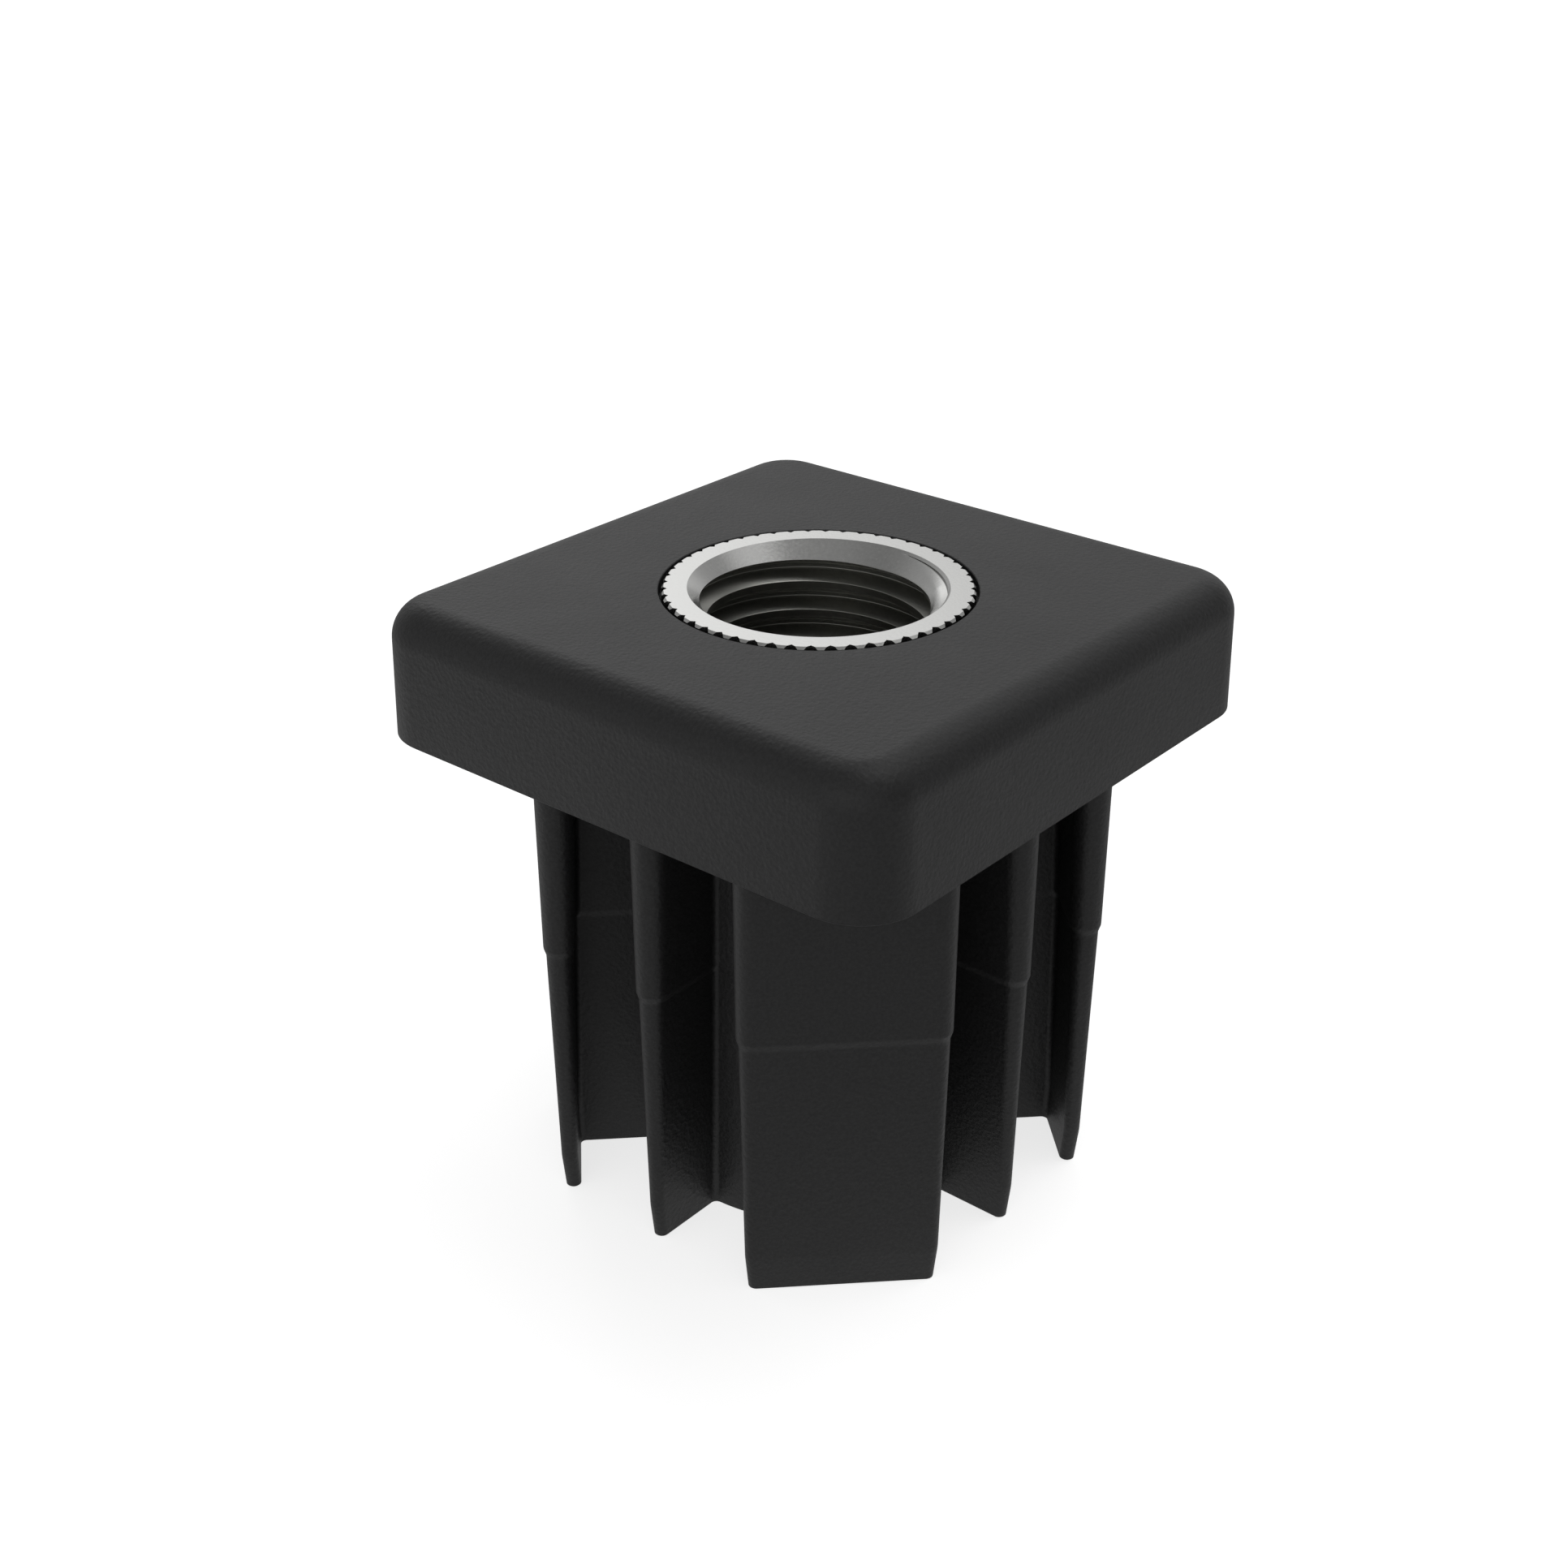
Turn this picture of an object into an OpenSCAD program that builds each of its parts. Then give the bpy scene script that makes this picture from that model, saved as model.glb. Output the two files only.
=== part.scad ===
// Threaded insert for the open end of a square tube.
// A moulded plug carries a knurled steel bush with an M16 thread. The cap closes the tube, and the
// shank under it grips the tube's inner walls with four ribs and four corner walls.
// Millimetres, +Z up. The origin is on the thread's axis, in the plane where the cap meets the tube.

/* [Cap] */
// Width of the square cap at its lower edge, the same as the tube's outside
cap_w = 40; // [38:0.5:60]
// Thickness of the cap
cap_h = 8.8; // [7:0.1:14]
// Radius of the cap's upright corners at the lower edge
cap_corner_r = 4; // [3:0.1:8]
// Radius of the rounded edge round the top
cap_edge_r = 2.4; // [0.5:0.1:3.5]
// Draft of the cap's four sides, in degrees
cap_draft = 1.4; // [0:0.1:3]

/* [Shank] */
// Width of the shank where it grips, the same as the tube's inside
plug_w = 34; // [31:0.1:36]
// Length of the shank under the cap
plug_l = 31.9; // [28:0.1:50]
// Length of the gripping zone, from the cap down
grip_l = 13.1; // [6:0.1:20]
// Height of the sloping step under the gripping zone
step_h = 0.5; // [0.2:0.1:2]
// How far the step goes in, all round each rib and wall
step_in = 0.16; // [0.05:0.01:0.4]
// Draft of the outer faces under the step, in degrees
side_draft = 0.9; // [0:0.1:2]
// Length of the tapered lead-in at the tips
lead_l = 2.5; // [1:0.1:6]
// Angle of the lead-in, in degrees
lead_angle = 6.5; // [2:0.5:15]
// Draft of each side of a rib, web or wall, in degrees
rib_draft = 1.15; // [0.2:0.05:1.5]
// Radius of the fillets where ribs, webs, walls and core meet
root_r = 0.4; // [0.1:0.1:0.8]

/* [Ribs and corner walls] */
// Thickness of a middle rib at its tip
rib_t = 1; // [0.8:0.1:2]
// Thickness of a corner wall at its tip
wall_t = 1; // [0.8:0.1:2]
// Thickness of the web that carries a corner wall, at its tip
web_t = 1.5; // [0.8:0.1:2.5]
// Distance from a middle rib's centre plane to the nearest corner wall's rounded end
wall_end_y = 8.15; // [6.5:0.05:10]

/* [Core] */
// Outside diameter of the round core at the tip
core_d = 22.2; // [21.4:0.1:25]
// Draft of the core's outside, in degrees
core_draft = 0.3; // [0:0.1:1]
// Diameter of the open hole under the bush, which clears the screw
clear_d = 17; // [16.5:0.1:18]

/* [Bush] */
// Length of the bush
bush_l = 25; // [14:0.5:32]
// Diameter over the knurl's crests
bush_d = 19.6; // [19:0.1:20.4]
// How far the bush stands proud of the cap
bush_proud = 0.07; // [0:0.01:0.5]
// Diameter of the bore at the thread's crests
bore_d = 14; // [12:0.1:15]
// Diameter of the countersinks at both mouths of the thread
mouth_d = 16.4; // [15.5:0.1:18]
// Size of the 45 degree chamfer on the knurl's two ends
bush_chamfer = 0.15; // [0.05:0.05:0.5]
// Number of grooves round the knurl
knurl_n = 52; // [24:4:72]
// Depth of a knurl groove
knurl_depth = 0.37; // [0.1:0.01:0.45]
// Angle between the two flanks of a knurl groove, in degrees
knurl_angle = 96; // [60:1:110]
// Direction of one groove, in degrees from +X
knurl_phase = 1.85; // [0:0.05:6.9]

/* [Seat of the bush] */
// Clearance between the knurl's crests and the wall of the socket
seat_gap = 0.02; // [0:0.01:0.1]
// Diameter of the wider mouth that lets the bush in, at the top of the cap
mouth_ring_d = 20; // [20:0.1:21]
// Depth of that wider mouth
mouth_ring_h = 0.8; // [0.3:0.1:2]

/* [Hidden] */

$fn = 96;
plastic = [0.09, 0.09, 0.1];
steel = [0.78, 0.79, 0.8];
arc_steps = 12;      // chords along a rounded end, a multiple of 4 so that a corner faces the tube
fillet_steps = 3;    // chords along a root fillet
root_sink = 0.05;    // how far a root fillet dips into the core, so that the two cross cleanly
bury = 1;            // how far the ribs and walls reach up into the cap
past = 1;            // how far a cutter, or a piece that is cut, runs past the face that it makes
corner_left = 0.2;   // smallest radius that stays at the cap's upright corners inside the rounded edge

seat_z = cap_h + bush_proud - bush_l;
socket_r = bush_d / 2 + seat_gap;
mouth_ring_r = max(mouth_ring_d / 2, socket_r);
edge_r = min(cap_edge_r, cap_corner_r - cap_h * tan(cap_draft) - corner_left);

// Heights of the sections through the ribs and walls. They run past the tips and are then cut flat.
step_low_z = -grip_l - step_h;
lead_z = -plug_l + lead_l;
levels = [-plug_l - past, lead_z, step_low_z, -grip_l, bury];

// How far the outer faces lie inside the gripping width at height z
function inset(z) =
    z >= -grip_l ? 0 :
    step_in + max(0, step_low_z - max(z, lead_z)) * tan(side_draft) + max(0, lead_z - z) * tan(lead_angle);

// What a face gains between the tip and height z, from a draft and from the step
function gain(z, draft) = (z + plug_l) * tan(draft) + (z >= -grip_l ? step_in : 0);

function half_width(z) = plug_w / 2 - inset(z);
function core_r(z) = core_d / 2 + gain(z, core_draft);
function thickness(tip_t, z) = tip_t + 2 * gain(z, rib_draft);

function arc(cx, cy, r, from, to, steps) =
    [for (i = [0:steps]) let (a = from + (to - from) * i / steps) [cx + r * cos(a), cy + r * sin(a)]];

// Fillet between a flat side at height side_y and the round core, then the way in to the core's wall
function core_fillet(side_y, z) =
    let (cy = side_y + root_r,
         cx = sqrt(pow(core_r(z) + root_r - root_sink, 2) - cy * cy),
         turn = atan2(cy, cx),
         inner = (core_r(z) + socket_r) / 2)
    concat(arc(cx, cy, root_r, 270, 180 + turn, fillet_steps), [[inner * cos(turn), inner * sin(turn)]]);

// Upper half of a middle rib's outline along +X: its round end, its side and its root
function rib_half(z) =
    let (r = thickness(rib_t, z) / 2)
    concat(arc(half_width(z) - r, 0, r, 0, 90, arc_steps / 2), core_fillet(r, z));

// Upper half of a corner wall with its web, along +X: outer face, round end, inner face, web and root
function corner_half(z) =
    let (t = thickness(wall_t, z),
         r = t / 2,
         side_y = thickness(web_t, z) / 2,
         end_x = half_width(z) - r,
         mid = (end_x + wall_end_y) / sqrt(2),
         reach = (end_x - wall_end_y) / sqrt(2))
    concat(arc(mid, reach, r, 0, 180, arc_steps),
           arc(mid - r - root_r, side_y + root_r, root_r, 0, -90, fillet_steps),
           core_fillet(side_y, z));

// Whole outline from its upper half, anticlockwise. A first point on the X axis isn't repeated.
function both_halves(half) =
    let (first = half[0].y == 0 ? 1 : 0)
    concat([for (i = [len(half) - 1:-1:first]) [half[i].x, -half[i].y]], half);

// Solid through one outline at each level, lowest first
module loft(outlines) {
    n = len(outlines[0]);
    top = len(outlines) - 1;
    points = [for (k = [0:top]) for (p = outlines[k]) [p.x, p.y, levels[k]]];
    sides = [for (k = [0:top - 1]) for (i = [0:n - 1])
        let (a = k * n + i, b = k * n + (i + 1) % n)
        each [[a, a + n, b + n], [a, b + n, b]]];
    ends = [[for (i = [0:n - 1]) i], [for (i = [n - 1:-1:0]) top * n + i]];
    polyhedron(points, concat(sides, ends));
}

module middle_rib() loft([for (z = levels) both_halves(rib_half(z))]);

module corner_wall() loft([for (z = levels) both_halves(corner_half(z))]);

// Section through the cap's border: drafted side and rounded top edge
module border_section() {
    centre_z = cap_h - edge_r;
    centre_x = cap_corner_r - centre_z * tan(cap_draft) - edge_r / cos(cap_draft);
    touch = [centre_x + edge_r * cos(cap_draft), centre_z + edge_r * sin(cap_draft)];
    polygon([[0, 0], [cap_corner_r, 0], touch, [centre_x, cap_h], [0, cap_h]]);
    translate([centre_x, centre_z]) intersection() {
        circle(edge_r);
        square(edge_r);
    }
}

module cap_blank() {
    inner_w = cap_w - 2 * cap_corner_r;
    translate([-inner_w / 2, -inner_w / 2, 0]) cube([inner_w, inner_w, cap_h]);
    for (turn = [0:90:270]) rotate(turn) {
        translate([inner_w / 2, 0, 0]) rotate([90, 0, 0])
            linear_extrude(inner_w, center = true) border_section();
        translate([inner_w / 2, inner_w / 2, 0]) rotate_extrude(angle = 90) border_section();
    }
}

// Round core, revolved: drafted, with the same step as the ribs. It runs past them at both ends.
module core() {
    core_zs = [-plug_l - 2 * past, step_low_z, -grip_l, 2 * bury];
    rotate_extrude() polygon(concat([[0, core_zs[3]], [0, core_zs[0]]], [for (z = core_zs) [core_r(z), z]]));
}

// Everything below the tips, which ends the ribs, walls and core in one flat plane
module below_tips() translate([-cap_w, -cap_w, -plug_l - 3 * past]) cube([2 * cap_w, 2 * cap_w, 3 * past]);

module plug_body() color(plastic) difference() {
    union() {
        cap_blank();
        core();
        for (turn = [0:90:270]) {
            rotate(turn) middle_rib();
            rotate(turn + 45) corner_wall();
        }
    }
    translate([0, 0, seat_z]) cylinder(r = socket_r, h = bush_l + past);
    translate([0, 0, cap_h - mouth_ring_h]) cylinder(r = mouth_ring_r, h = mouth_ring_h + past);
    translate([0, 0, -plug_l - past]) cylinder(d = clear_d, h = plug_l + past + seat_z + past);
    below_tips();
}

// V grooves round the knurl, with their roots knurl_depth under the crests
module knurl_grooves() {
    crest_r = bush_d / 2;
    open_r = crest_r + past;
    root_r = crest_r - knurl_depth;
    half_w = (open_r - root_r) * tan(knurl_angle / 2);
    for (i = [0:knurl_n - 1]) rotate(knurl_phase + i * 360 / knurl_n)
        polygon([[root_r, 0], [open_r, -half_w], [open_r, half_w]]);
}

module threaded_bush() color(steel) translate([0, 0, seat_z]) difference() {
    crest_r = bush_d / 2;
    sink = (mouth_d - bore_d) / 2;
    rotate_extrude() polygon([
        [bore_d / 2, sink], [mouth_d / 2, 0], [crest_r - bush_chamfer, 0], [crest_r, bush_chamfer],
        [crest_r, bush_l - bush_chamfer], [crest_r - bush_chamfer, bush_l],
        [mouth_d / 2, bush_l], [bore_d / 2, bush_l - sink]]);
    translate([0, 0, -past]) linear_extrude(bush_l + 2 * past) knurl_grooves();
}

plug_body();
threaded_bush();
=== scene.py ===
"""Threaded insert for a square tube: a black moulded plug with a knurled steel bush.

The plug is one closed surface with its root fillets, and the bush has its real
helical thread, run-out and knurl. Shapes are worked out in millimetres with numpy
and put into the mesh in metres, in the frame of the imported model.
"""
import math

import bmesh
import bpy
import numpy as np
from mathutils.geometry import delaunay_2d_cdt
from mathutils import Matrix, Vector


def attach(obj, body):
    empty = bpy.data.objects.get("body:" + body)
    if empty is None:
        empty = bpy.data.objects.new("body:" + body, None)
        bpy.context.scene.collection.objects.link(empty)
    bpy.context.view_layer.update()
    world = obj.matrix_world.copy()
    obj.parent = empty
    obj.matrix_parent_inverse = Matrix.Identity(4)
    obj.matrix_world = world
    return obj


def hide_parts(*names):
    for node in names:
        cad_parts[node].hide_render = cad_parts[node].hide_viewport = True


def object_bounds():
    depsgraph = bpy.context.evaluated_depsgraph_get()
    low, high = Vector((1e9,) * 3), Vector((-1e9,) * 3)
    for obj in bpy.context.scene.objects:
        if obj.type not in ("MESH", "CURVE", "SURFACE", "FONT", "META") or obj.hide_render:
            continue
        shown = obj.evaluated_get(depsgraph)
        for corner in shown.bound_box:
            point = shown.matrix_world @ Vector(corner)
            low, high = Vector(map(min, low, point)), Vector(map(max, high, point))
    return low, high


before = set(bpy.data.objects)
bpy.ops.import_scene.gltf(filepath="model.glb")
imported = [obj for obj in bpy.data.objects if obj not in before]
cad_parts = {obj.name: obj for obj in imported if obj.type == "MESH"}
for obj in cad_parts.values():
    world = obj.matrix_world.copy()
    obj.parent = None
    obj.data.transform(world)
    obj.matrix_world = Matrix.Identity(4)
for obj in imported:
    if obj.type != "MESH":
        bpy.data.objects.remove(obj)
cad_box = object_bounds()
MM = 0.001
TINY = 1e-9  # keeps a value that stands on a limit on its right side

# Cap. All sizes are in millimetres and all angles in degrees, unless a comment says otherwise.
CAP_W = 40.0  # width of the square at its lower edge
CAP_H = 8.8  # thickness
CAP_CORNER = 4.0  # radius of the upright corners at the lower edge
CAP_EDGE = 2.4  # radius of the rounded edge round the top
CAP_DRAFT = 1.4  # draft of the four sides

# Shank
PLUG_W = 34.0  # width where it grips the tube
PLUG_L = 31.9  # length under the cap
GRIP_L = 13.1  # length of the gripping zone, from the cap down
STEP_H = 0.5  # height of the sloping step under the gripping zone
STEP_IN = 0.16  # how far the step goes in
SIDE_DRAFT = 0.9  # draft of the outer faces under the step
LEAD_L = 2.5  # length of the tapered lead-in at the tips
LEAD_ANGLE = 6.5  # angle of the lead-in
RIB_DRAFT = 1.15  # draft of each side of a rib, web or wall
RIB_T = 1.0  # thickness of a middle rib at its tip
WALL_T = 1.0  # thickness of a corner wall at its tip
WEB_T = 1.5  # thickness of a corner wall's web at its tip
WALL_END_Y = 8.15  # from a middle rib's centre plane to the nearest corner wall's round end
ROOT_R = 0.4  # fillets where ribs, webs, walls and core meet
CORE_R = 11.1  # radius of the round core at the tips
CORE_DRAFT = 0.3  # draft of the core's outside

# Small bends that the solid model leaves sharp
TIP_CHAMFER = 0.07  # at the tips
CAP_CHAMFER = 0.15  # where the shank meets the cap
LEAD_SOFT = 0.25  # reach of the rounding at the lead-in's bend
STEP_SOFT = 0.09  # reach of the rounding at the step's two bends
EDGE_BREAK = 0.05  # at the cap's lower edge and at both rims of the hole

# Distance from a bend to the extra points that keep the flat stretch beside it evenly shaded
HOLD = 0.04  # along a loft, and half of it on the thread's crest
HOLD_OUTLINE = 0.03  # along the shank's outline
HOLD_CAP = 0.05  # along the cap's outline and on its top face
HOLD_SIDE = 0.2  # up the cap's sides

# Hole through the plug
MOUTH_RING_R = 10.0  # radius of the wider mouth that lets the bush in
MOUTH_RING_H = 0.8  # depth of the wider mouth
SEAT_R = 9.82  # radius of the bush's socket
CLEAR_R = 8.5  # radius of the passage under the bush

# Bush
BUSH_L = 25.0  # length
PROUD = 0.07  # how far it stands proud of the cap
CREST_R = 9.8  # radius over the knurl's crests
CHAMFER = 0.15  # on the knurl's two ends
TEETH = 52  # number of grooves round the knurl
GROOVE = 0.37  # depth of a groove
GROOVE_ANGLE = 96.0  # angle between a groove's flanks
GROOVE_PHASE = 1.85  # direction of one groove from +X
MOUTH_R = 8.2  # radius of the 45 degree countersinks at both mouths
TOP_Z = CAP_H + PROUD
SEAT_Z = TOP_Z - BUSH_L

# Thread
PITCH = 2.0  # climb in one turn, right-handed
BORE_R = 7.0  # radius at the crests
THREAD_ROOT_R = 8.04  # radius at the roots
FLANK_ANGLE = 30.0  # between a flank and a plane square to the axis
CREST_FLAT = 0.48  # width of a crest, before its corners are rounded
CREST_ROUND = 0.03  # radius of a crest's two corners
ROOT_ROUND = 0.05  # radius of a root's two corners
THREAD_ZERO = -2.93  # height of a crest's middle above the cap's top face in the direction +X
FLANK_ROWS = (0.02, 0.33, 0.66, 0.98)  # places of the rows along a flank, as shares of it
TURNS_ABOVE = 3  # pitches worked out above that crest, more than the bush needs

# Steps or points along curves, and columns round the axis
RIB_STEPS = 10  # a middle rib's end, from its tip to its side
WALL_STEPS = 16  # a corner wall's round end
FILLET_STEPS = 8  # a root fillet
CORE_STEPS = 12  # the core between a rib and a web
CORNER_STEPS = 20  # an upright corner of the cap
EDGE_POINTS = 15  # the rounded edge round the cap's top
SOFT_POINTS = 5  # a softened bend of the shank
THREAD_POINTS = 4  # a rounded corner of the thread
HOLE_COLUMNS = 256
THREAD_COLUMNS = 180

# Finish of the plastic
PLASTIC_DARK = (0.010, 0.010, 0.0103, 1)
PLASTIC_LIGHT = (0.0185, 0.0185, 0.019, 1)
PLASTIC_ROUGH = (0.47, 0.53)
# Finish of the steel. Between two radii and two depths under the cap's top it turns into the cut thread's
# rougher finish, and its colour into a painted shade that darkens the bore.
STEEL_DARK = (0.57, 0.57, 0.56, 1)
STEEL_LIGHT = (0.66, 0.66, 0.645, 1)
STEEL_ROUGH = (0.16, 0.31)
# Painted shade: the thread's colour inside the bore, darker than the steel to stand in for the shade there
THREAD_PAINTED_SHADE = (0.41, 0.41, 0.382, 1)
THREAD_ROUGH = 0.30
PAINTED_SHADE_AND_CUT_RADII = (8.4, 8.3)
PAINTED_SHADE_AND_CUT_DEPTHS = (1.0, 1.3)

# Studio: soft panels (azimuth, elevation and half width in degrees, level) in a dim room
PANELS = (
    (40, 10, 50, 0.14),
    (85, 10, 50, 0.14),
    (130, 10, 50, 0.05),
    (175, 10, 50, 0.40),
    (220, 10, 50, 0.25),
    (-5, 10, 50, 0.11),
    (40, 48, 50, 0.11),
    (220, 48, 50, 0.08),
    (-20, 48, 50, 0.04),
    (52, 27, 20, 0.88),
    (22, 27, 20, 0.31),
    (-38, 59, 25, 0.46),
    (-22, 73, 19, 1.75),
    (12, 0, 28, 0.18),
)
PANEL_CORE = 0.996  # cosine of the angle from a panel's middle at which its full level begins
ROOM_LEVEL = 0.202
# Lit patches of the floor that gloss sees (azimuth in degrees, distance and half width in metres, level)
FLOOR_PATCHES = (
    (0, 0, 0.045, 0.60),
    (130, 0.085, 0.075, 0.46),
    (-50, 0.085, 0.075, 0.21),
)
FLOOR_HALF = 3.0  # half of the floor's width, in metres
FLOOR_COLOUR = (0.75, 0.75, 0.75, 1)
FLOOR_ROUGH = 0.9
FLOOR_LIFT = 0.75  # how much the camera sees the floor lifted towards white
WHITE = (1, 1, 1, 1)

# Camera, solved from the photograph: place in metres, angles in radians
CAMERA_PLACE = (-0.098075, -0.079493, 0.050676 + CAP_H * MM)
CAMERA_YAW = 0.8725866
CAMERA_DOWN = 0.4723926
LENS = 50.0
SENSOR = 36.0
NEAR_CLIP = 0.005  # in metres


def tangent(angle):
    """Tangent of an angle in degrees."""
    return math.tan(math.radians(angle))


def weld(mesh):
    """Merges points within a thousandth of a millimetre, so that the shell closes."""
    bm = bmesh.new()
    bm.from_mesh(mesh)
    bmesh.ops.remove_doubles(bm, verts=bm.verts, dist=0.001 * MM)
    bmesh.ops.dissolve_degenerate(bm, dist=0.0001 * MM, edges=bm.edges)
    bm.to_mesh(mesh)
    bm.free()


def add_piece(name, points, quads, triangles, node, material, sharp=30.0):
    """Makes the mesh from points in mm and faces, welds its seams and sets its sharp edges."""
    mesh = bpy.data.meshes.new(name)
    mesh.from_pydata((points * MM).tolist(), [], quads.tolist() + triangles.tolist())
    piece = bpy.data.objects.new(name, mesh)
    bpy.context.scene.collection.objects.link(piece)
    weld(mesh)
    mesh.polygons.foreach_set("use_smooth", np.ones(len(mesh.polygons), bool))
    mesh.set_sharp_from_angle(angle=math.radians(sharp))
    mesh.materials.append(material)
    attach(piece, "root")
    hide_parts(node)


def closed_quads(rows, columns, start):
    """Quads of a grid of rows by columns that closes on itself round its columns."""
    r = np.arange(rows - 1)[:, None]
    c = np.arange(columns)[None, :]
    d = (c + 1) % columns
    corners = [r * columns + c, r * columns + d, (r + 1) * columns + d, (r + 1) * columns + c]
    return np.stack(corners, -1).reshape(-1, 4) + start


def open_quads(rows, columns):
    """Quads of a grid that stays open at both sides, turned to face the axis."""
    k = np.arange(rows - 1)[:, None] * columns + np.arange(columns - 1)[None, :]
    return np.stack([k, k + columns, k + columns + 1, k + 1], -1).reshape(-1, 4)


def split_on_ridge(quads, on_ridge):
    """Cuts each quad that has two opposite corners on a ridge into triangles along the ridge."""
    one = on_ridge[:, 0] & on_ridge[:, 2]
    other = on_ridge[:, 1] & on_ridge[:, 3] & ~one
    cut_and_painted_shade = [
        quads[one][:, (0, 1, 2)],
        quads[one][:, (0, 2, 3)],
        quads[other][:, (0, 1, 3)],
        quads[other][:, (1, 2, 3)],
    ]
    return quads[~one & ~other], np.concatenate(cut_and_painted_shade)


def fill_ring(outer, inner, z, start, up):
    """Triangles of the flat ring between two closed outlines at one height, facing up or down.

    Both outlines are triangulated as faces. A triangle that belongs to the outer one only lies
    in the ring."""
    both = np.concatenate([outer, inner])
    outlines = [list(range(len(outer))), list(range(len(outer), len(both)))]
    only_inside = 1
    closest = 1e-6
    flat, _, faces, _, _, owners = delaunay_2d_cdt(both.tolist(), [], outlines, only_inside, closest)
    in_ring = np.array([face for face, owner in zip(faces, owners) if list(owner) == [0]])
    points = np.column_stack([np.array(flat), np.full(len(flat), z)])
    return points, in_ring[:, ::1 if up else -1] + start


def arc(cx, cy, r, start, end, steps):
    """Points on an arc, for every level at once: centre, radius and angles may each be a column."""
    t = np.linspace(0, 1, steps + 1)[None, :]
    a = np.radians(start) + (np.radians(end) - np.radians(start)) * t
    return np.stack([cx + r * np.cos(a), cy + r * np.sin(a)], -1)


def four_turns(quarter):
    """A quarter of an outline, repeated after each quarter turn."""
    turned = [quarter, quarter[..., ::-1] * [-1, 1], -quarter, quarter[..., ::-1] * [1, -1]]
    return np.concatenate(turned, 1)


def shank_outline(z, trim):
    """Outline of the shank at heights z, moved inwards by trim: eight mirrored copies of one octant.

    An octant runs from a rib's rounded end along its side, round the root fillet, along the
    core, round the web's fillets and the corner wall's rounded end, to its outer face."""
    z = np.asarray(z, float)[:, None]
    trim = np.asarray(trim, float)[:, None]
    above_step = z > -GRIP_L - TINY
    step_low = -GRIP_L - STEP_H
    lead = -PLUG_L + LEAD_L
    drafted = np.maximum(0, step_low - np.maximum(z, lead)) * tangent(SIDE_DRAFT)
    tapered = np.maximum(0, lead - z) * tangent(LEAD_ANGLE)
    half_w = PLUG_W / 2 - np.where(above_step, 0, STEP_IN + drafted + tapered)

    def gain(draft):
        return (z + PLUG_L) * tangent(draft) + np.where(above_step, STEP_IN, 0)

    core = CORE_R + gain(CORE_DRAFT) - trim
    rib = RIB_T / 2 + gain(RIB_DRAFT)
    wall = WALL_T / 2 + gain(RIB_DRAFT)
    web = WEB_T / 2 + gain(RIB_DRAFT) - trim
    fillet = ROOT_R + trim
    rib_end = half_w - rib
    wall_end = half_w - wall
    mid = (wall_end + WALL_END_Y) / math.sqrt(2)
    reach = (wall_end - WALL_END_Y) / math.sqrt(2)
    rib = rib - trim
    wall = wall - trim

    def root(side):
        """Fillet between a flat side and the core, the direction of its end and its centre's x."""
        cy = side + fillet
        cx = np.sqrt((core + fillet) ** 2 - cy ** 2)
        turn = np.degrees(np.arctan2(cy, cx))
        return arc(cx, cy, fillet, 270, 180 + turn, FILLET_STEPS), turn, cx

    def point(x, y):
        return np.stack(np.broadcast_arrays(x, y), -1)

    rib_root, rib_turn, rib_cx = root(rib)
    web_root, web_turn, web_cx = root(web)
    inside = mid - wall
    octant = [
        arc(rib_end, 0, rib, 0, 90, RIB_STEPS),
        point(rib_end - HOLD_OUTLINE, rib),
        point(rib_cx + HOLD_OUTLINE, rib),
        rib_root,
        arc(0, 0, core, rib_turn, 45 - web_turn, CORE_STEPS)[:, 1:-1],
    ]
    corner = [
        point(mid + wall, reach - HOLD_OUTLINE),
        arc(mid, reach, wall, 0, 180, WALL_STEPS),
        point(inside, reach - HOLD_OUTLINE),
        point(inside, web + fillet + HOLD_OUTLINE),
        arc(inside - fillet, web + fillet, fillet, 0, -90, FILLET_STEPS),
        point(inside - fillet - HOLD_OUTLINE, web),
        point(web_cx + HOLD_OUTLINE, web),
        web_root,
    ]
    corner = np.concatenate(corner, 1)[:, ::-1] * [1, -1]
    x, y = corner[..., 0], corner[..., 1]
    s = math.sqrt(0.5)
    turned = np.stack([s * (x - y), s * (x + y)], -1)
    half = np.concatenate(octant + [turned], 1)
    return four_turns(np.concatenate([half, half[:, :0:-1, ::-1]], 1))


def cap_outline(inset):
    """Square with rounded corners at each inset: quarter circles about fixed corner centres."""
    inset = np.asarray(inset, float)[:, None]
    c = CAP_W / 2 - CAP_CORNER
    r = CAP_CORNER - inset
    along = np.array([[-c + HOLD_CAP, -c / 2, 0, c / 2, c - HOLD_CAP]])
    side = np.stack(np.broadcast_arrays(c + r, along), -1)
    return four_turns(np.concatenate([side, arc(c, c, r, 0, 90, CORNER_STEPS)], 1))


def ring(radius, z, columns):
    """Circles of the given radii at the given heights, one row each."""
    a = np.linspace(0, 2 * np.pi, columns, endpoint=False)[None, :]
    r = np.asarray(radius, float)[:, None]
    z = np.asarray(z, float)[:, None]
    return np.stack(np.broadcast_arrays(r * np.cos(a), r * np.sin(a), z), -1)


def lift(outline, z):
    """Adds a height to each row of an outline."""
    z = np.broadcast_to(np.asarray(z, float)[:, None], outline.shape[:2])
    return np.concatenate([outline, z[..., None]], -1)


def part_way(row, other, height):
    """The row that lies the given height away from one row, on the way to another."""
    return row + (other - row) * height / abs(other[0, 2] - row[0, 2])


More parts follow.
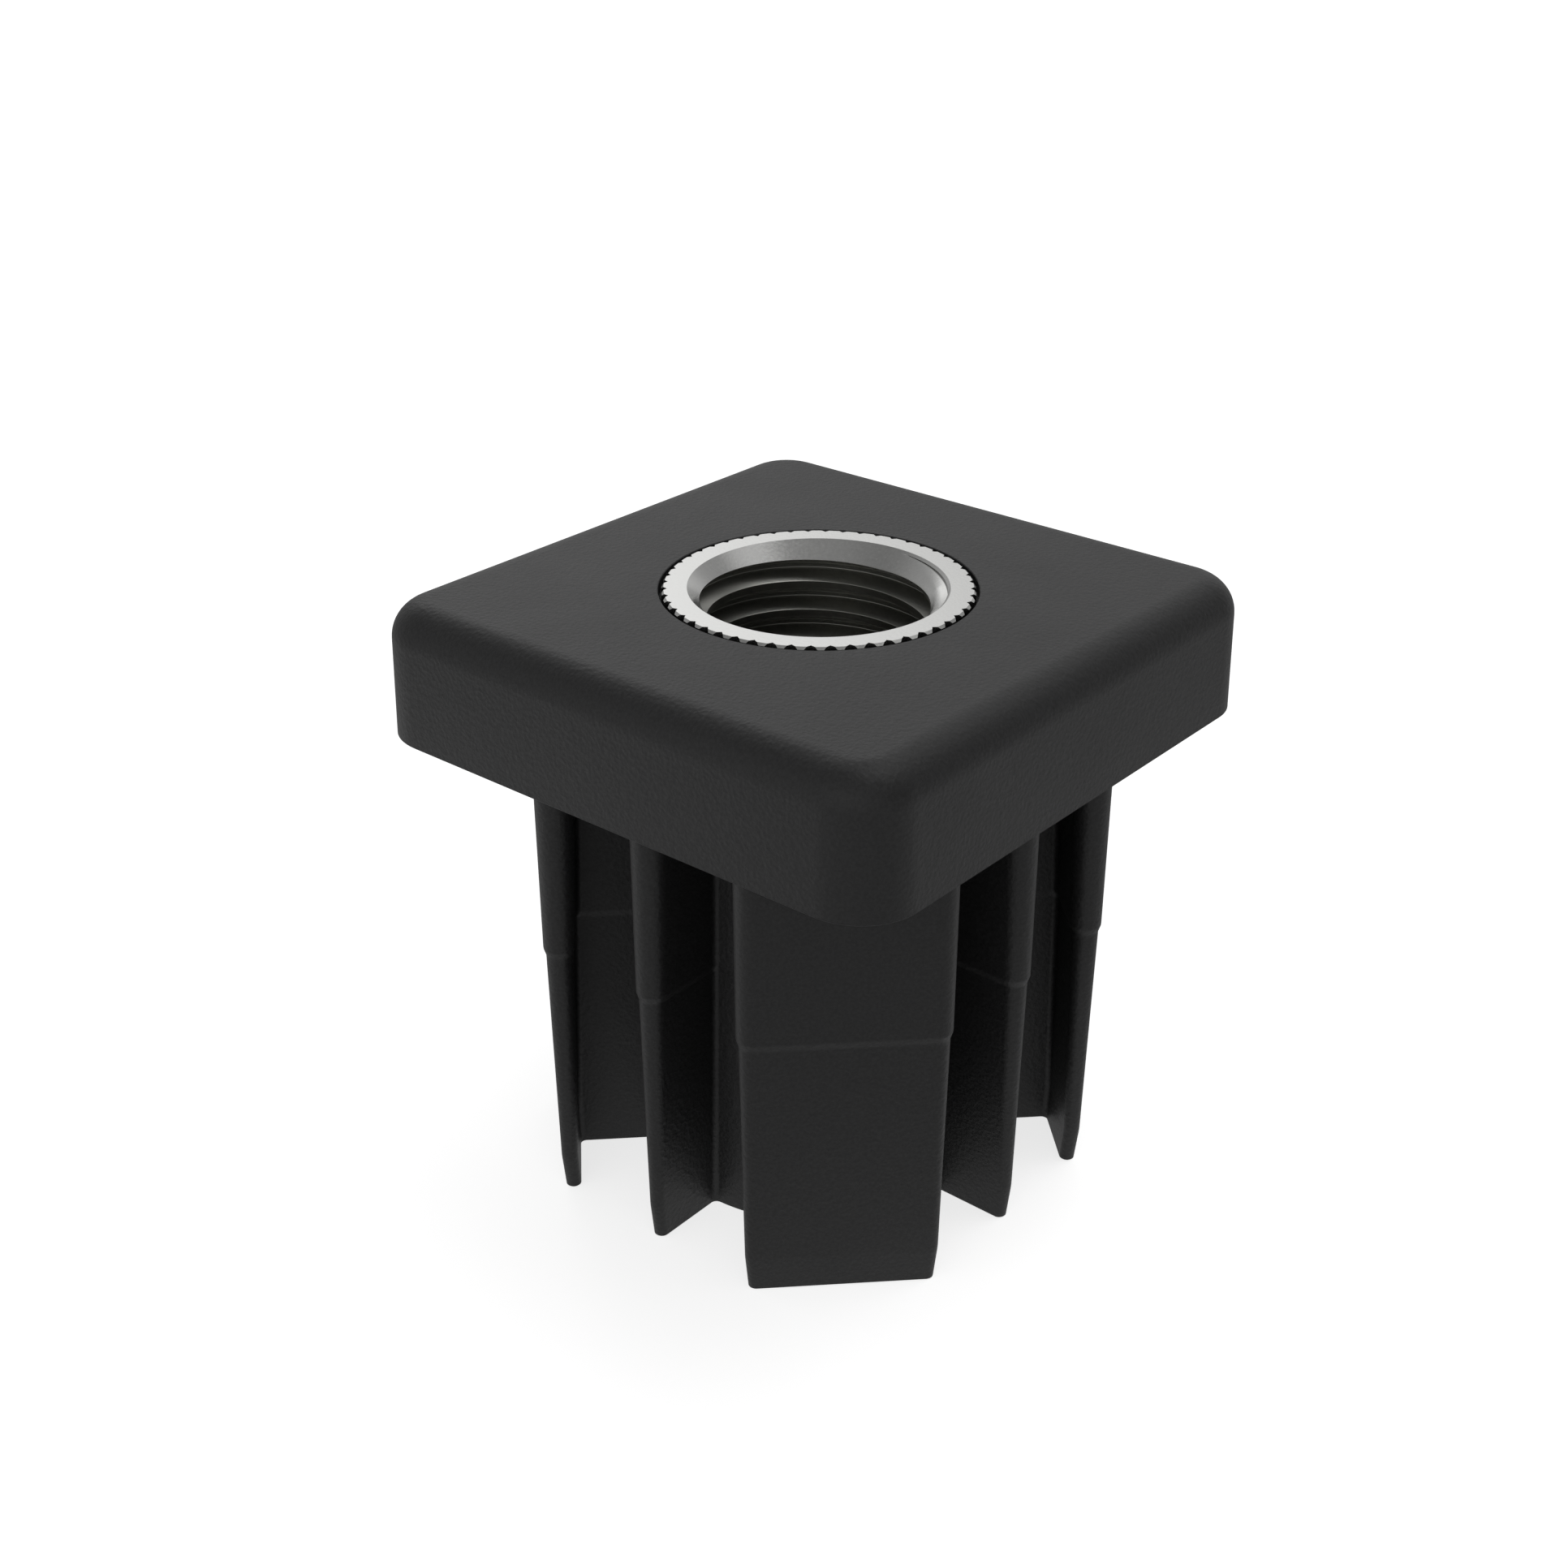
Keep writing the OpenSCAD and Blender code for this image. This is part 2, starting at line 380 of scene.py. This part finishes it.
def soften(rows, bends):
    """Rounds a loft's bends. The row at each bend becomes a parabola that reaches the given height.

    A further row just beyond each end of the parabola keeps the flat stretches evenly shaded."""
    out = []
    for i, row in enumerate(rows):
        if i not in bends:
            out.append(row)
            continue
        before = part_way(row, rows[i - 1], bends[i])
        after = part_way(row, rows[i + 1], bends[i])
        out.append(part_way(row, rows[i - 1], bends[i] + HOLD))
        for t in np.linspace(0, 1, SOFT_POINTS):
            out.append((1 - t) ** 2 * before + 2 * t * (1 - t) * row + t ** 2 * after)
        out.append(part_way(row, rows[i + 1], bends[i] + HOLD))
    return np.stack(out)


def shank_rows():
    """The lofted shank from its tips up to the cap."""
    lead, step_low = -PLUG_L + LEAD_L, -GRIP_L - STEP_H
    zs = [-PLUG_L, -PLUG_L + TIP_CHAMFER, lead, step_low, -GRIP_L, -CAP_CHAMFER, 0]
    trims = [TIP_CHAMFER, 0, 0, 0, 0, 0, -CAP_CHAMFER]
    bends = {zs.index(lead): LEAD_SOFT, zs.index(step_low): STEP_SOFT, zs.index(-GRIP_L): STEP_SOFT}
    return soften(lift(shank_outline(zs, trims), zs), bends)


def cap_rows():
    """The cap's drafted sides and the rounded edge round its top."""
    draft = math.radians(CAP_DRAFT)
    edge_z = CAP_H - CAP_EDGE
    edge_in = edge_z * math.tan(draft) + CAP_EDGE / math.cos(draft)
    t = np.linspace(draft, np.pi / 2, EDGE_POINTS)
    low = [EDGE_BREAK, 0.0, HOLD_SIDE * math.tan(draft)]
    insets = np.concatenate([low, edge_in - CAP_EDGE * np.cos(t), [edge_in + HOLD_CAP]])
    heights = np.concatenate([[0, EDGE_BREAK, HOLD_SIDE], edge_z + CAP_EDGE * np.sin(t), [CAP_H]])
    return lift(cap_outline(insets), heights)


def hole_rows():
    """The stepped hole from the cap's top down: wider mouth, socket of the bush, ledge and passage."""
    ring_z = CAP_H - MOUTH_RING_H
    rims = [
        (MOUTH_RING_R + EDGE_BREAK, CAP_H),
        (MOUTH_RING_R, CAP_H - EDGE_BREAK),
        (MOUTH_RING_R, ring_z),
        (SEAT_R, ring_z),
        (SEAT_R, SEAT_Z),
        (CLEAR_R, SEAT_Z),
        (CLEAR_R, -PLUG_L + EDGE_BREAK),
        (CLEAR_R + EDGE_BREAK, -PLUG_L),
    ]
    radii, heights = zip(*rims)
    return ring(radii, heights, HOLE_COLUMNS)


def make_plug(material):
    """The moulded plug: lofted shank, flat underside, drafted cap with a rounded top edge, stepped hole."""
    shank, cap, hole = shank_rows(), cap_rows(), hole_rows()
    points, quads, triangles = [], [], []
    for rows in (shank, cap, hole):
        start = sum(len(p) for p in points)
        points.append(rows.reshape(-1, 3))
        quads.append(closed_quads(rows.shape[0], rows.shape[1], start))
    flats = [
        (cap[0], shank[-1], 0, False),
        (cap[-1], hole[0], CAP_H, True),
        (shank[0], hole[-1], -PLUG_L, False),
    ]
    for outer, inner, z, up in flats:
        start = sum(len(p) for p in points)
        flat, faces = fill_ring(outer[:, :2], inner[:, :2], z, start, up)
        points.append(flat)
        triangles.append(faces)
    add_piece("plug_moulding", np.concatenate(points), np.concatenate(quads), np.concatenate(triangles),
              "plug_body", material)


def groove_half_angle(r):
    """Half the angle that a knurl groove spans at radius r: its flanks are straight lines from the root."""
    root, slope = CREST_R - GROOVE, tangent(GROOVE_ANGLE / 2)
    below = math.sqrt(r * r * (1 + slope ** 2) - (slope * root) ** 2)
    x = (slope ** 2 * root + below) / (1 + slope ** 2)
    return math.atan2((x - root) * slope, x)


def bush_columns():
    """Angles of the bush's columns and the knurl's radius at each: root, chamfer, crest and land of
    every groove."""
    inner_r = CREST_R - CHAMFER
    low, high = groove_half_angle(inner_r), groove_half_angle(CREST_R)
    land = np.pi / TEETH
    a = np.array([0, low, high, land, 2 * land - high, 2 * land - low])
    r = np.array([CREST_R - GROOVE, inner_r, CREST_R, CREST_R, CREST_R, inner_r])
    turns = math.radians(GROOVE_PHASE) + np.arange(TEETH)[:, None] * 2 * land
    return (turns + a).ravel(), np.tile(r, TEETH)


def knurled_rows():
    """The bush's outside from its lower face to its upper one, with the chamfers on the knurl's ends."""
    angles, knurl = bush_columns()
    below = (CREST_R - knurl).clip(0, CHAMFER)
    ends = knurl.clip(0, CREST_R - CHAMFER)
    ones = np.ones_like(knurl)
    z = np.stack([SEAT_Z * ones, SEAT_Z + CHAMFER - below, TOP_Z - CHAMFER + below, TOP_Z * ones])
    r = np.stack([ends, knurl, knurl, ends])
    return np.stack([r * np.cos(angles), r * np.sin(angles), z], -1)


def thread_profile():
    """Heights and radii of one pitch of the internal thread, from the crest's middle up to the next one.

    Straight 60 degree flanks between a flat crest and a flat root. The crest's two corners are
    arcs of CREST_ROUND and the root's two are arcs of ROOT_ROUND, tangent to flat and flank."""
    slope = tangent(FLANK_ANGLE)
    bend = np.radians(np.linspace(0, 90 - FLANK_ANGLE, THREAD_POINTS))
    crest_z = CREST_FLAT / 2 + CREST_ROUND * (np.sin(bend) - slope)
    crest_r = BORE_R + CREST_ROUND * (1 - np.cos(bend))
    back = bend[::-1]
    flank_end = CREST_FLAT / 2 + (THREAD_ROOT_R - BORE_R + ROOT_ROUND) * slope
    root_z = flank_end - ROOT_ROUND * np.sin(back)
    root_r = THREAD_ROOT_R - ROOT_ROUND * (1 - np.cos(back))
    share = np.array(FLANK_ROWS)
    flank_z = crest_z[-1] + share * (root_z[0] - crest_z[-1])
    flank_r = crest_r[-1] + share * (root_r[0] - crest_r[-1])
    z = np.concatenate([[0, crest_z[0] - HOLD / 2], crest_z, flank_z, root_z])
    r = np.concatenate([[BORE_R, BORE_R], crest_r, flank_r, root_r])
    heights = np.concatenate([z, [PITCH / 2], PITCH - z[::-1]])
    return heights, np.concatenate([r, [THREAD_ROOT_R], r[::-1]])


def thread_wall():
    """Grid of the threaded wall from mouth to mouth, and which of its points lie on a ridge.

    A row follows the helix, so it climbs one pitch in a turn and meets a higher row there. The
    radius is the larger of the thread and of the two 45 degree countersinks, and a row next to
    the line where thread and countersink cross moves on to it. That line is the ridge."""
    turn = np.linspace(0, 2 * np.pi, THREAD_COLUMNS + 1)[None, :]
    heights, radii = thread_profile()
    pitches = np.arange(-int(BUSH_L / PITCH) - 1, TURNS_ABOVE)[:, None] * PITCH
    s = (pitches + heights[:-1]).reshape(-1, 1)
    z = s + THREAD_ZERO + CAP_H + PITCH * turn / (2 * np.pi)
    r = np.interp(np.mod(s + TINY, PITCH), heights, radii) + 0 * z
    cone = np.maximum(MOUTH_R - (TOP_Z - z), MOUTH_R - (z - SEAT_Z))
    gap = r - cone
    cross = gap[:-1] * gap[1:] < 0
    share = np.where(cross, gap[:-1] / np.where(cross, gap[:-1] - gap[1:], 1), 0)
    z_cross = z[:-1] + share * (z[1:] - z[:-1])
    r_cross = r[:-1] + share * (r[1:] - r[:-1])
    z_out, r_out = z.copy(), np.maximum(r, cone)
    low, high = cross & (share < 0.5), cross & (share >= 0.5)
    z_out[:-1][low], r_out[:-1][low] = z_cross[low], r_cross[low]
    z_out[1:][high], r_out[1:][high] = z_cross[high], r_cross[high]
    r_out = np.where((z_out > TOP_Z) | (z_out < SEAT_Z), MOUTH_R, r_out)
    z_out = np.clip(z_out, SEAT_Z, TOP_Z)
    ridge = np.zeros(z.shape, bool)
    ridge[:-1] |= low
    ridge[1:] |= high
    return np.stack([r_out * np.cos(turn), r_out * np.sin(turn), z_out], -1), ridge


def make_bush(material):
    """The steel bush: knurled outside with chamfered ends, two flat faces and the threaded wall."""
    outside = knurled_rows()
    wall, ridge = thread_wall()
    points = [outside.reshape(-1, 3), wall.reshape(-1, 3)]
    wall_start = len(points[0])
    wall_quads = open_quads(wall.shape[0], wall.shape[1])
    wall_quads, wall_triangles = split_on_ridge(wall_quads, ridge.ravel()[wall_quads])
    quads = [closed_quads(outside.shape[0], outside.shape[1], 0), wall_quads + wall_start]
    triangles = [wall_triangles + wall_start]
    mouth = ring([MOUTH_R], [0], THREAD_COLUMNS)[0]
    for rim, z, up in ((outside[0], SEAT_Z, False), (outside[-1], TOP_Z, True)):
        start = sum(len(p) for p in points)
        flat, faces = fill_ring(rim[:, :2], mouth[:, :2], z, start, up)
        points.append(flat)
        triangles.append(faces)
    add_piece("bush_turned", np.concatenate(points), np.concatenate(quads), np.concatenate(triangles),
              "threaded_bush", material, sharp=20.0)


def new_material(name):
    """A material with its node tree and its shader."""
    material = bpy.data.materials.new(name)
    material.use_nodes = True
    tree = material.node_tree
    return material, tree, tree.nodes["Principled BSDF"]


def add_node(tree, kind, inputs=None, **settings):
    """A new node with its settings. Each input gets either a value or the output that feeds it."""
    node = tree.nodes.new("ShaderNode" + kind)
    for name, value in settings.items():
        setattr(node, name, value)
    feed(tree, node, inputs or {})
    return node


def feed(tree, node, inputs):
    """Sets each input of a node to its value, or links it to the output that feeds it."""
    for name, value in inputs.items():
        if isinstance(value, bpy.types.NodeSocket):
            tree.links.new(value, node.inputs[name])
        else:
            node.inputs[name].default_value = value


def blend(tree, share, first, second):
    """A number that goes from the first to the second as share goes from 0 to 1.

    Inputs 2 and 3 of a Mix node are its two numbers, and 6 and 7 are its two colours."""
    return add_node(tree, "Mix", {0: share, 2: first, 3: second}).outputs[0]


def blend_colours(tree, share, first, second):
    """A colour that goes from the first to the second as share goes from 0 to 1."""
    return add_node(tree, "Mix", {0: share, 6: first, 7: second}, data_type="RGBA").outputs[2]


def combine(tree, operation, values):
    """Sum or product of several values."""
    total = values[0]
    for value in values[1:]:
        total = add_node(tree, "Math", {0: total, 1: value}, operation=operation).outputs[0]
    return total


def ramp(tree, value, low, high, top=1.0):
    """Rises smoothly from nothing to the top level while the value goes from low to high."""
    limits = {"From Min": low, "From Max": high, "To Min": 0.0, "To Max": top}
    rise = add_node(tree, "MapRange", {"Value": value, **limits}, interpolation_type="SMOOTHSTEP")
    return rise.outputs["Result"]


def straight_ramp(tree, value, limits):
    """Goes evenly from the first limit to the second while the value goes from 0 to 1."""
    inputs = {"Value": value, "To Min": limits[0], "To Max": limits[1]}
    return add_node(tree, "MapRange", inputs).outputs["Result"]


def noise(tree, place, scale, detail, roughness=0.5):
    """Soft random pattern with the given number of grains in a metre."""
    inputs = {"Vector": place, "Scale": scale, "Detail": detail, "Roughness": roughness}
    return add_node(tree, "TexNoise", inputs).outputs["Fac"]


def bump(tree, height, strength, distance):
    """Surface direction over a relief of the given depth in metres."""
    inputs = {"Strength": strength, "Distance": distance, "Height": height}
    return add_node(tree, "Bump", inputs).outputs["Normal"]


def moulded_plastic():
    """Black polymer from a spark-eroded mould: fine matt grain and faint flow marks."""
    material, tree, shader = new_material("moulded_black_polymer")
    place = add_node(tree, "TexCoord").outputs["Object"]
    grain = noise(tree, place, scale=5000.0, detail=3.0, roughness=0.6)
    flow = noise(tree, place, scale=160.0, detail=4.0)
    cells = add_node(tree, "TexVoronoi", {"Vector": place, "Scale": 3000.0}).outputs["Distance"]
    relief = blend(tree, share=0.4, first=grain, second=cells)
    contrast = ramp(tree, grain, low=0.3, high=0.7)
    feed(tree, shader, {
        "Base Color": blend_colours(tree, contrast, PLASTIC_DARK, PLASTIC_LIGHT),
        "Roughness": straight_ramp(tree, flow, PLASTIC_ROUGH),
        "Normal": bump(tree, relief, strength=0.62, distance=0.00008),
    })
    return material


def turned_steel():
    """Bright turned steel with a fine satin grain. The cut thread is rougher, and its colour is a painted
    shade that darkens the bore.
    """
    material, tree, shader = new_material("turned_steel")
    place = add_node(tree, "TexCoord").outputs["Object"]
    grain = noise(tree, place, scale=5200.0, detail=3.0)
    level = add_node(tree, "VectorMath", {0: place, 1: (1, 1, 0)}, operation="MULTIPLY").outputs[0]
    radius = add_node(tree, "VectorMath", {0: level}, operation="LENGTH").outputs["Value"]
    height = add_node(tree, "SeparateXYZ", {0: place}).outputs["Z"]
    inside = ramp(tree, radius, PAINTED_SHADE_AND_CUT_RADII[0] * MM, PAINTED_SHADE_AND_CUT_RADII[1] * MM)
    below = ramp(tree, height, (CAP_H - PAINTED_SHADE_AND_CUT_DEPTHS[0]) * MM, (CAP_H - PAINTED_SHADE_AND_CUT_DEPTHS[1]) * MM)
    # Inside the bore, under the cap's top, the colour becomes painted shade and the finish turns rougher
    cut_and_painted_shade = combine(tree, "MULTIPLY", (inside, below))
    colour = blend_colours(tree, grain, STEEL_DARK, STEEL_LIGHT)
    feed(tree, shader, {
        "Metallic": 1.0,
        "Base Color": blend_colours(tree, cut_and_painted_shade, colour, THREAD_PAINTED_SHADE),
        "Roughness": blend(tree, cut_and_painted_shade, straight_ramp(tree, grain, STEEL_ROUGH), THREAD_ROUGH),
        "Normal": bump(tree, grain, strength=0.25, distance=0.00002),
    })
    return material


def direction(azimuth, elevation=0.0):
    """Unit vector at an azimuth from +X and an elevation, both in degrees."""
    a, e = math.radians(azimuth), math.radians(elevation)
    return math.cos(e) * math.cos(a), math.cos(e) * math.sin(a), math.sin(e)


def make_floor():
    """Pale floor that keeps the plug's shadow.

    The camera sees it lifted towards white, and gloss sees it lit patch by patch."""
    material, tree, shader = new_material("floor_white")
    z = cad_box[0][2]
    place = add_node(tree, "TexCoord").outputs["Object"]

    def distance_from(x, y):
        apart = add_node(tree, "VectorMath", {0: place, 1: (x, y, z)}, operation="DISTANCE")
        return apart.outputs["Value"]

    patches = []
    for azimuth, away, width, level in FLOOR_PATCHES:
        x, y, _ = direction(azimuth)
        patches.append(ramp(tree, distance_from(x * away, y * away), width, 0.0, level))
    # The floor under the hollow core stays dark, so that no light comes up through the bore
    from_axis = distance_from(0, 0)
    beyond = add_node(tree, "Math", {0: from_axis, 1: CORE_R * MM}, operation="GREATER_THAN")
    path = add_node(tree, "LightPath")
    factors = (combine(tree, "ADD", patches), beyond.outputs[0], path.outputs["Is Glossy Ray"])
    gloss = combine(tree, "MULTIPLY", factors)
    feed(tree, shader, {
        "Base Color": FLOOR_COLOUR,
        "Roughness": FLOOR_ROUGH,
        "Emission Color": WHITE,
        "Emission Strength": blend(tree, path.outputs["Is Camera Ray"], gloss, FLOOR_LIFT),
    })
    s = FLOOR_HALF
    mesh = bpy.data.meshes.new("floor")
    mesh.from_pydata([(-s, -s, z), (s, -s, z), (s, s, z), (-s, s, z)], [], [(0, 1, 2, 3)])
    mesh.materials.append(material)
    floor = bpy.data.objects.new("floor", mesh)
    bpy.context.scene.collection.objects.link(floor)


def make_world():
    """White to the camera. Light and gloss come from a dim room with large soft panels round the object."""
    world = bpy.data.worlds.new("studio")
    bpy.context.scene.world = world
    world.use_nodes = True
    tree = world.node_tree
    ray = add_node(tree, "TexCoord").outputs["Generated"]
    panels = []
    for azimuth, elevation, width, level in PANELS:
        middle = direction(azimuth, elevation)
        towards = add_node(tree, "VectorMath", {0: ray, 1: middle}, operation="DOT_PRODUCT")
        rim = math.cos(math.radians(width))
        panels.append(ramp(tree, towards.outputs["Value"], rim, PANEL_CORE, level))
    light = combine(tree, "ADD", (*panels, ROOM_LEVEL))
    to_camera = add_node(tree, "LightPath").outputs["Is Camera Ray"]
    feed(tree, tree.nodes["Background"], {"Color": WHITE, "Strength": blend(tree, to_camera, light, 1.0)})


def make_camera():
    """The lens, the place and the angles that were solved from the photograph."""
    data = bpy.data.cameras.new("camera")
    data.lens, data.sensor_width = LENS, SENSOR
    data.clip_start = NEAR_CLIP
    camera = bpy.data.objects.new("camera", data)
    camera.location = CAMERA_PLACE
    camera.rotation_euler = (math.pi / 2 - CAMERA_DOWN, 0.0, -CAMERA_YAW)
    bpy.context.scene.collection.objects.link(camera)
    bpy.context.scene.camera = camera


make_camera()
make_plug(moulded_plastic())
make_bush(turned_steel())
make_floor()
make_world()
bpy.context.scene.view_settings.view_transform = "Standard"
